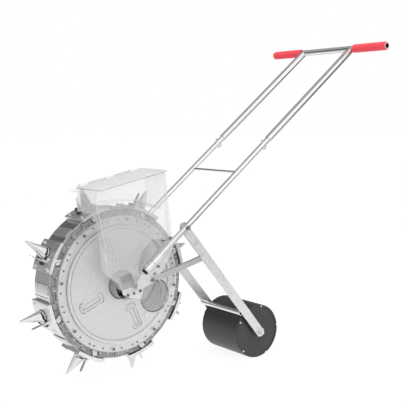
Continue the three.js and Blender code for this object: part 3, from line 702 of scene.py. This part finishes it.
def buildDrumInside():
    kit = insideKit
    spot = axle + Vector(kit["brushAt"]) * mm
    spunPiece("brush_wheel", inMetres(kit["brush"]), spot, cellPlastic, "drum", 40,
              bevel=0.6 * mm)
    spunPiece("brush_cap", inMetres(kit["cap"]), spot, brightFastener, "drum", 32)
    divider = []
    for step in range(kit["dividerSteps"]):
        a = math.radians(kit["dividerStart"] - kit["dividerTurn"] * step)
        radius = kit["dividerRadius"] - kit["dividerCloses"] * step
        divider.append(onDisc(radius * mm, a, kit["dividerDepth"] * mm))
    wirePiece("seed_divider", [divider], 3 * mm, zincPlate, "drum")
    spunPiece("seed_baffle", inMetres(kit["baffle"]), axle, zincPlate, "drum", 40,
              kit["baffleStart"], kit["baffleSweep"])


# the clear ring: springs, gates and small screws between the flange and the band
ringKit = {
    "springAfterBill": -14,
    "springAt": (0, 9, 216),
    "springLength": 36,
    "springRadius": 3.2,
    "springTurns": 9,
    "wire": 0.7,
    "blocks": ((-5.5, 219, 20, 15), (13, 219, 30, 16), (26, 218, 17, 14)),  # angle, radius, length, height
    "blockDepth": 7,
    "gateAfterBill": 5,
    "gateAt": (0, 7, 219),
    "gateTilt": 24,
    "gateSize": (15, 3, 20),
    "ribsAfterBill": (-22, -1, 20),
    "ribAt": (0, 10.5, 219),
    "ribSize": (1.6, 5, 20),
    "screwsAfterBill": (-18, -9, 9.5, 17),
    "screwOrbit": 215,
    "rimAt": (229.6, 14.6),  # radius, depth
    "wall": ((209, 1.6), (212, 1.6), (212, 13), (209, 13)),
}


def coil(frameAt, length, radius, turns, wireSteps=12):
    # a helix along a frame's X
    points = []
    total = turns * wireSteps
    for i in range(total + 1):
        a = 2 * math.pi * i / wireSteps
        local = Vector((length * (i / total - 0.5), radius * math.cos(a), radius * math.sin(a)))
        points.append(frameAt @ local)
    return points


def onDrum(angle, after, spot):
    # a frame beside the bill at this angle, turned on by so many degrees; spot in mm
    return billFrame(angle + math.radians(after)) @ Matrix.Translation(Vector(spot) * mm)


def buildRingKit():
    kit = ringKit
    springs = []
    blocks = bmesh.new()
    gates = bmesh.new()
    screws = []
    ribs = bmesh.new()
    gateTurn = Matrix.Rotation(math.radians(kit["gateTilt"]), 4, "Y")
    for angle in billAngles:
        here = onDrum(angle, kit["springAfterBill"], kit["springAt"])
        springs.append(coil(here, kit["springLength"] * mm, kit["springRadius"] * mm, kit["springTurns"]))
        for after, radius, length, tall in kit["blocks"]:
            here = onDrum(angle, after, (0, 9.5, radius))
            addBlock(blocks, here, Vector((length, kit["blockDepth"], tall)) * mm, 1.2 * mm)
        here = onDrum(angle, kit["gateAfterBill"], kit["gateAt"])
        addBlock(gates, here @ gateTurn, Vector(kit["gateSize"]) * mm, 1 * mm)
        for after in kit["ribsAfterBill"]:
            addBlock(ribs, onDrum(angle, after, kit["ribAt"]), Vector(kit["ribSize"]) * mm, 0.4 * mm)
        for after in kit["screwsAfterBill"]:
            spot = onDisc(kit["screwOrbit"] * mm, angle + math.radians(after), 6 * mm)
            screws.append(faceFrame(spot, (0, -1, 0)))
    wirePiece("gate_springs", springs, kit["wire"] * mm, brightSteel, "drum")
    finishMesh("gate_blocks", blocks, cellPlastic, "drum")
    finishMesh("gate_plates", gates, brightSteel, "drum")
    finishMesh("ring_ribs", ribs, clearPlastic, "drum")
    headsPiece("ring_screws", screws, 2.4 * mm, 1.6 * mm, brightFastener, "drum", 12)
    rimRadius, rimDepth = kit["rimAt"]
    rim = ringPath(axle + Vector((0, rimDepth * mm, 0)), rimRadius * mm, 160)
    wirePiece("ring_rim", [rim], 1.3 * mm, brightSteel, "drum", True)
    spunPiece("ring_wall", inMetres(kit["wall"]), axle, cellPlastic, "drum", 96)


# what sits on each bill's tray: base seal, bolts, spring and stop
billKit = {
    "trayTop": 241.5,
    "bolts": (  # along, across, radius
        (22.6, 30, 4.6), (50, 20, 3.4), (55, 11, 2.8), (-24, 96, 4.2), (50, 96, 3.4),
    ),
    "springY": 81,
    "springLength": 12,
    "springRadius": 4.6,
    "springTurns": 6,
    "stop": (39, 60),
    "stopSize": (16, 9, 6),
    "sealMiddle": (8, 58),
    "sealRadius": 20.3,
    "sealSteps": 40,
}


def onTray(frameAt, t, y, lift=0):
    height = math.sqrt(billKit["trayTop"] ** 2 - t ** 2)
    lean = Vector((t, 0, height)).normalized()
    spot = Vector((t, y, height)) + lean * lift
    normal = frameAt.to_3x3() @ lean
    return faceFrame(frameAt @ (spot * mm), normal)


def buildBillKit():
    kit = billKit
    bolts = {}
    seals = []
    coils = []
    stops = bmesh.new()
    t0, y0 = kit["sealMiddle"]
    for angle in billAngles:
        here = billFrame(angle)
        for t, y, radius in kit["bolts"]:
            bolts.setdefault(radius, []).append(onTray(here, t, y))
        seal = []
        for step in range(kit["sealSteps"]):
            a = 2 * math.pi * step / kit["sealSteps"]
            t = t0 + kit["sealRadius"] * math.cos(a)
            y = y0 + kit["sealRadius"] * math.sin(a)
            seal.append(here @ (Vector((t, y, math.sqrt(kit["trayTop"] ** 2 - t * t) + 0.7)) * mm))
        seals.append(seal)
        pin = here @ Matrix.Translation((hinge["shift"], kit["springY"] * mm, hinge["radius"]))
        pin = pin @ Matrix.Rotation(math.radians(90), 4, "Z")
        coils.append(coil(pin, kit["springLength"] * mm, kit["springRadius"] * mm, kit["springTurns"]))
        addBlock(stops, onTray(here, *kit["stop"], 2.6), Vector(kit["stopSize"]) * mm, 1.2 * mm)
    for n, (radius, spots) in enumerate(sorted(bolts.items())):
        headsPiece("tray_bolts_%d" % n, spots, radius * mm, 2.6 * mm, brightFastener, "drum",
                   6 if radius > 4 else 14, 0.5, radius * 1.4 * mm)
    wirePiece("bill_seals", seals, 0.9 * mm, blackPlastic, "drum", True)
    wirePiece("jaw_springs", coils, 1.1 * mm, blackPlastic, "drum")
    finishMesh("jaw_stops", stops, blackPlastic, "drum")


# small plates riveted to the band between the bills
bandPlate = {
    "afterBill": 27.2,
    "span": 7.6,
    "near": 20,
    "far": 97,
    "base": 230.2,
    "top": 233.5,
    "seamAfter": 6,
    "seamRadius": 230.3,
    "seamEnds": (17, 108),
}


def buildBandPlates():
    kit = bandPlate
    base, top, near, far = kit["base"], kit["top"], kit["near"], kit["far"]
    outline = inMetres([(base, near), (top, near), (top, far), (base, far)])
    seams = []
    for n, angle in enumerate(billAngles):
        start = math.degrees(angle) + kit["afterBill"] - kit["span"] / 2
        spunPiece("band_plate_%d" % (n + 1), outline, axle, zincPlate, "drum", 8, start,
                  kit["span"], 1.2 * mm)
        here = billFrame(angle + math.radians(kit["afterBill"] + kit["seamAfter"]))
        seams.append([here @ (Vector((0, y, kit["seamRadius"])) * mm) for y in range(*kit["seamEnds"], 6)])
    wirePiece("band_seams", seams, 0.7 * mm, fastenerSteel, "drum")
    print("drum details on", len(billAngles), "bills")


# bolts and holes on the fixed frame, mm from the axle: forward-back, across, up
frameBolts = {
    "hubBracket": ((-3, -52.2, -25.6, 3.6), (41, -52.2, -17.6, 3.6), (18, -52.2, -22, 3)),
    "stayRoot": ((62, -89.2, 19, 4.6), (77, -89.2, 13.9, 3.4)),
    "strap": ((127, -85.9, 139.4, 3.4), (84, -85.9, 57.4, 3.4), (70, -85.9, 37, 3)),
    "armHoles": ((246.5, -94.5, 72.5, 2.8), (259.1, -94.5, 53.8, 2.8)),
}


# dark lines on the stay: painted reflection
stayReflectionLines = {"root": (62, 0, 19), "sides": (-2.5, 5), "share": (0.2, 0.97), "wire": 0.9}


def fromAxle(x, y, z):
    return Vector((axle.x + x * mm, axle.y + y * mm, axle.z + z * mm))


def buildStayReflectionLines():
    # two dark lines along the round stay, lying on its near side: a painted dark reflection of the tube
    low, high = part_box("near_stay")
    radius = (high.y - low.y) / 2
    root = fromAxle(*stayReflectionLines["root"])
    tip = Vector((low.x + high.x - root.x, root.y, low.z + high.z - root.z))
    up = Vector((root.z - tip.z, 0, tip.x - root.x)).normalized()
    lines = []
    for side in stayReflectionLines["sides"]:
        y = low.y + radius - math.sqrt(radius ** 2 - (side * mm) ** 2)
        ends = [root.lerp(tip, share) for share in stayReflectionLines["share"]]
        lines.append([Vector((spot.x, y, spot.z)) + up * side * mm for spot in ends])
    wirePiece("stay_painted_reflection", lines, stayReflectionLines["wire"] * mm, fastenerSteel, "frame")


def buildFrameBolts():
    for name, bolts in frameBolts.items():
        material, slotName, sides = fastenerSteel, "dark_steel", 6
        if name == "armHoles":
            material, slotName, sides = brightFastener, "stainless", 14
        for n, (x, y, z, radius) in enumerate(bolts):
            place = faceFrame(fromAxle(x, y, z), (0, -1, 0))
            headsPiece("%s_bolt_%d" % (name, n + 1), [place], radius * mm, 2.4 * mm, material, "frame",
                       sides, 0.4, radius * 1.5 * mm)


# sleeves, tube joints and the roller's ends
tubes = {
    "angle": 38.68,
    "datum": (264.5, 243.3),
    "sleeveJoint": -273,
    "sleeveRadius": 12.7,
    "sleeveEnds": (-300, -238),
    "mouthAt": 305,
    "mouthRadius": 10.6,
}


def alongTube(length, side):
    a = math.radians(tubes["angle"])
    x, z = tubes["datum"]
    spot = fromAxle(x + length * math.cos(a), 0, z + length * math.sin(a))
    spot.y = middle("lower_tube_" + side).y
    return spot


def tubeRing(length, side, radius):
    a = math.radians(tubes["angle"])
    up = Vector((-math.sin(a), 0, math.cos(a)))
    centre = alongTube(length, side)
    turns = [2 * math.pi * i / 40 for i in range(40)]
    return [centre + (up * math.cos(t) + Vector((0, 1, 0)) * math.sin(t)) * radius for t in turns]


def buildTubeDetails():
    for side in ("near", "far"):
        radius = tubes["sleeveRadius"] * mm
        wirePiece("sleeve_joint_" + side, [tubeRing(tubes["sleeveJoint"], side, radius)], 0.7 * mm,
                  fastenerSteel, "frame", True)
        ends = [tubeRing(length, side, radius - 0.3 * mm) for length in tubes["sleeveEnds"]]
        wirePiece("sleeve_rims_" + side, ends, 1.0 * mm, brightSteel, "frame", True)
        mouth = tubeRing(tubes["mouthAt"], side, tubes["mouthRadius"] * mm)
        wirePiece("tube_mouth_" + side, [mouth], 1.1 * mm, brightSteel, "handle", True)


rollerKit = {
    "screws": 5,
    "firstScrew": 7.8,
    "screwOrbit": 84.5,
    "screwRadius": 3.1,
    "rimRadius": 82.2,
    "pinRing": 8,
    "pinDrop": 7,
    "pinWire": 0.9,
}


def buildRollerDetails():
    kit = rollerKit
    low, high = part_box("roller_shell")
    for side, y, normal in (("near", low.y, -1), ("far", high.y, 1)):
        spots = []
        for k in range(kit["screws"]):
            a = math.radians(kit["firstScrew"] + 360 / kit["screws"] * k)
            out = Vector((math.cos(a), 0, math.sin(a))) * kit["screwOrbit"] * mm
            spot = Vector((rollerCentre.x, y, rollerCentre.z)) + out
            spots.append(faceFrame(spot, (0, normal, 0)))
        headsPiece("roller_screws_" + side, spots, kit["screwRadius"] * mm, 2 * mm, brightFastener, "roller",
                   14, 0.4)
        rim = Vector((rollerCentre.x, y - normal * 1 * mm, rollerCentre.z))
        wirePiece("roller_rim_" + side, [ringPath(rim, kit["rimRadius"] * mm, 96)], 1.2 * mm, blackPlastic,
                  "roller", True)
        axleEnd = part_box("roller_axle")[0 if side == "near" else 1].y
        eye = Vector((rollerCentre.x, axleEnd - normal * 6 * mm, rollerCentre.z))
        loop = []
        for step in range(24):
            a = 2 * math.pi * step / 24
            spot = Vector((kit["pinRing"] * math.cos(a), 0, kit["pinDrop"] + kit["pinRing"] * math.sin(a)))
            loop.append(eye + spot * mm)
        legs = [[eye + Vector((x * 1.3, 0, -z)) * mm for z in range(-1, 12, 2)] for x in (-1, 1)]
        wirePiece("pin_ring_" + side, [loop], kit["pinWire"] * mm, brightSteel, "frame", True)
        wirePiece("pin_legs_" + side, legs, kit["pinWire"] * mm, brightSteel, "frame")


# foam grips with rounded outer ends
grip = {"radius": 14.5, "bore": 10.9, "chamfer": 1.4, "round": 11, "roundDepth": 0.32}


def buildGrips():
    for side, outward in (("near", -1), ("far", 1)):
        low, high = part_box("grip_" + side)
        centre = (low + high) / 2
        half = (high.y - low.y) / 2
        outer = half * outward
        inner = -outer
        profile = [(grip["bore"] * mm, inner), ((grip["radius"] - grip["chamfer"]) * mm, inner)]
        profile.append((grip["radius"] * mm, inner + outward * 1.6 * mm))
        for step in range(9):
            a = math.radians(90 * step / 8)
            r = grip["radius"] - grip["round"] * (1 - math.cos(a)) * grip["roundDepth"]
            y = half - (grip["round"] - grip["round"] * math.sin(a)) * mm
            profile.append((r * mm, y * outward))
        profile.append((grip["bore"] * mm, outer))
        piece = spunPiece("grip_foam_" + side, profile, centre, redFoam, "handle", 40)
        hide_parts("grip_" + side)


# dark line round the lid's lower edge, in the lid's tilted frame: painted shadow under the lid
lidShadowLine = {
    "height": 320.4,  # of the lid's middle above the axle
    "offset": 16,
    "tilt": 11.8,
    "halfLength": 118.6,
    "halfDepth": 66.8,
    "below": -0.7,
    "wire": 0.9,
}


def buildLidShadowLine():
    centre = fromAxle(0, 0, lidShadowLine["height"])
    centre.y = axle.y - lidShadowLine["offset"] * mm
    tilt = Matrix.Translation(centre) @ Matrix.Rotation(math.radians(-lidShadowLine["tilt"]), 4, "Y")
    a, b, z = lidShadowLine["halfLength"], lidShadowLine["halfDepth"], lidShadowLine["below"]
    corners = [(-a, -b), (a, -b), (a, b), (-a, b)]
    path = [tilt @ (Vector((x, y, z)) * mm) for x, y in corners]
    wirePiece("lid_painted_shadow", [path], lidShadowLine["wire"] * mm, fastenerSteel, "lid", True)


# bright lines on the edges of the clear chute and hopper, mm from the axle: painted highlight where the clear
# edges catch the light
clearEdgeHighlights = {
    "wire": 0.55,
    "nearY": -75.3,
    "chute": (
        (-122, 254.4), (-106, 196.4), (-95, 136.4), (-88, 54.4), (-44, 18), (-38, -3), (20, 6),
        (17, 66.4), (27, 98.4), (40, 120.4), (70, 142.4), (135, 132.4), (139, 154.4), (117, 338),
    ),
    "backY": -49.3,
    "backEdge": ((-106, 196.4), (-95, 136.4), (-88, 54.4), (-44, 18)),
}


def buildClearEdgeHighlights():
    kit = clearEdgeHighlights
    near = [fromAxle(x, kit["nearY"], z) for x, z in kit["chute"]]
    back = [fromAxle(x, kit["backY"], z) for x, z in kit["backEdge"]]
    wirePiece("chute_edge_highlights", [near, back], kit["wire"] * mm, edgeHighlightPlastic, "frame")
    print("clear edge highlights painted")


buildClearEdgeHighlights()
buildDiscFace()
buildWindow()
buildDrumInside()
buildRingKit()
buildBillKit()
buildBandPlates()
buildFrameBolts()
buildStayReflectionLines()
buildTubeDetails()
buildRollerDetails()
buildGrips()
buildLidShadowLine()


# light table floor, grey room and a soft key lamp
studio = {
    "floorColour": (0.12, 0.12, 0.12, 1),
    "floorGlow": 0.9,
    "tableEdge": (1.9, 2.9, 0.84, 0.06),  # from and to in metres, then the two glows
    "floorSize": 60,
    "roomGrey": (0.42, 0.422, 0.425, 1),
    "frontWall": (1.15, 1.15, 1.15, 1),
    "wallFrom": (-0.2, -0.5),
    "flagFoot": 0.34,
    "flagTop": 0.09,
    "flagFade": (0.5, 2.2),
    "flagHalfWidth": 4,
    "flagAt": 3,
    "flagHeight": 2.9,
    "backdrop": (1, 1, 1, 1),
    "lamps": {  # place, target, size, power
        "keySoft": ((-1.8, -2.4, 3.0), (0, 0, 0.4), 3.0, 40),
        "fillSoft": ((2.4, -1.2, 2.4), (0, 0, 0.4), 2.0, 8),
        "topSoft": ((-0.3, 0.2, 3.2), (-0.3, 0, 0.4), 2.4, 30),
    },
}


def buildFloor():
    mat, tree, shader = newTree("floorPaint")
    shader.inputs["Base Color"].default_value = studio["floorColour"]
    shader.inputs["Roughness"].default_value = 0.9
    shader.inputs["Emission Color"].default_value = (1, 1, 1, 1)
    path = addNode(tree, "ShaderNodeLightPath")
    glow = addNode(tree, "ShaderNodeMapRange")
    coord = addNode(tree, "ShaderNodeTexCoord")
    far = addNode(tree, "ShaderNodeVectorMath", operation="LENGTH")
    table = addNode(tree, "ShaderNodeMapRange", interpolation_type="SMOOTHSTEP")
    for label, value in zip(("From Min", "From Max", "To Min", "To Max"), studio["tableEdge"]):
        table.inputs[label].default_value = value
    tree.links.new(coord.outputs["Object"], far.inputs[0])
    tree.links.new(far.outputs["Value"], table.inputs["Value"])
    tree.links.new(table.outputs["Result"], glow.inputs["To Min"])
    glow.inputs["To Max"].default_value = studio["floorGlow"]
    tree.links.new(path.outputs["Is Camera Ray"], glow.inputs["Value"])
    tree.links.new(glow.outputs["Result"], shader.inputs["Emission Strength"])
    bm = bmesh.new()
    bmesh.ops.create_grid(bm, x_segments=1, y_segments=1, size=studio["floorSize"] / 2)
    mesh = bpy.data.meshes.new("floor")
    bm.to_mesh(mesh)
    bm.free()
    mesh.materials.append(mat)
    floor = bpy.data.objects.new("floor", mesh)
    bpy.context.scene.collection.objects.link(floor)


def buildWorld():
    # a white backdrop straight on, a grey room for everything that the metal mirrors
    world = bpy.context.scene.world or bpy.data.worlds.new("studio")
    bpy.context.scene.world = world
    world.use_nodes = True
    tree = world.node_tree
    back = tree.nodes["Background"]
    path = addNode(tree, "ShaderNodeLightPath")
    coord = addNode(tree, "ShaderNodeTexCoord")
    axes = addNode(tree, "ShaderNodeSeparateXYZ")
    front = addNode(tree, "ShaderNodeMapRange", interpolation_type="SMOOTHSTEP")
    front.inputs["From Min"].default_value, front.inputs["From Max"].default_value = studio["wallFrom"]
    room = addNode(tree, "ShaderNodeMix", data_type="RGBA")
    room.inputs["A"].default_value = studio["roomGrey"]
    room.inputs["B"].default_value = studio["frontWall"]
    mix = addNode(tree, "ShaderNodeMix", data_type="RGBA")
    mix.inputs["B"].default_value = studio["backdrop"]
    tree.links.new(coord.outputs["Generated"], axes.inputs["Vector"])
    tree.links.new(axes.outputs["Y"], front.inputs["Value"])
    tree.links.new(front.outputs["Result"], room.inputs["Factor"])
    tree.links.new(room.outputs["Result"], mix.inputs["A"])
    tree.links.new(path.outputs["Is Camera Ray"], mix.inputs["Factor"])
    tree.links.new(mix.outputs["Result"], back.inputs["Color"])
    back.inputs["Strength"].default_value = 1.0


def buildFlag():
    # a dark cloth behind the machine, seen only in the metal, fading to grey at its foot
    mat, tree, shader = newTree("flagCloth")
    shader.inputs["Base Color"].default_value = (0, 0, 0, 1)
    shader.inputs["Roughness"].default_value = 1
    shader.inputs["Emission Color"].default_value = (1, 1, 1, 1)
    coord = addNode(tree, "ShaderNodeTexCoord")
    axes = addNode(tree, "ShaderNodeSeparateXYZ")
    tree.links.new(coord.outputs["Object"], axes.inputs["Vector"])
    fade = addNode(tree, "ShaderNodeMapRange", interpolation_type="SMOOTHSTEP")
    fade.inputs["From Min"].default_value, fade.inputs["From Max"].default_value = studio["flagFade"]
    fade.inputs["To Min"].default_value = studio["flagFoot"]
    fade.inputs["To Max"].default_value = studio["flagTop"]
    tree.links.new(axes.outputs["Z"], fade.inputs["Value"])
    tree.links.new(fade.outputs["Result"], shader.inputs["Emission Strength"])
    bm = bmesh.new()
    wide, back, top = studio["flagHalfWidth"], studio["flagAt"], studio["flagHeight"]
    corners = [(-wide, back, 0), (wide, back, 0), (wide, back, top), (-wide, back, top)]
    bm.faces.new([bm.verts.new(c) for c in corners])
    mesh = bpy.data.meshes.new("back_flag")
    bm.to_mesh(mesh)
    bm.free()
    mesh.materials.append(mat)
    flag = bpy.data.objects.new("back_flag", mesh)
    flag.visible_camera = False
    flag.visible_diffuse = False
    flag.visible_shadow = False
    flag.visible_transmission = False
    bpy.context.scene.collection.objects.link(flag)


def addLamp(name, where, target, size, power):
    data = bpy.data.lights.new(name, "AREA")
    data.size = size
    data.energy = power
    lamp = bpy.data.objects.new(name, data)
    lamp.location = where
    lamp.rotation_euler = (Vector(target) - Vector(where)).to_track_quat("-Z", "Y").to_euler()
    lamp.visible_glossy = False
    bpy.context.scene.collection.objects.link(lamp)


cameraFit = {"place": (-1.578, -2.1238, 0.79558), "pitch": -5.82, "turn": -36.99, "lens": 72.716}


def addCamera():
    data = bpy.data.cameras.new("camera")
    data.sensor_width = 36
    data.lens = cameraFit["lens"]
    camera = bpy.data.objects.new("camera", data)
    camera.location = cameraFit["place"]
    camera.rotation_euler = (math.radians(90 + cameraFit["pitch"]), 0, math.radians(cameraFit["turn"]))
    bpy.context.scene.collection.objects.link(camera)
    bpy.context.scene.camera = camera


buildFloor()
buildWorld()
buildFlag()
for lampName, settings in studio["lamps"].items():
    addLamp(lampName, *settings)
addCamera()
bpy.context.scene.view_settings.view_transform = "Standard"
print("stage ready")
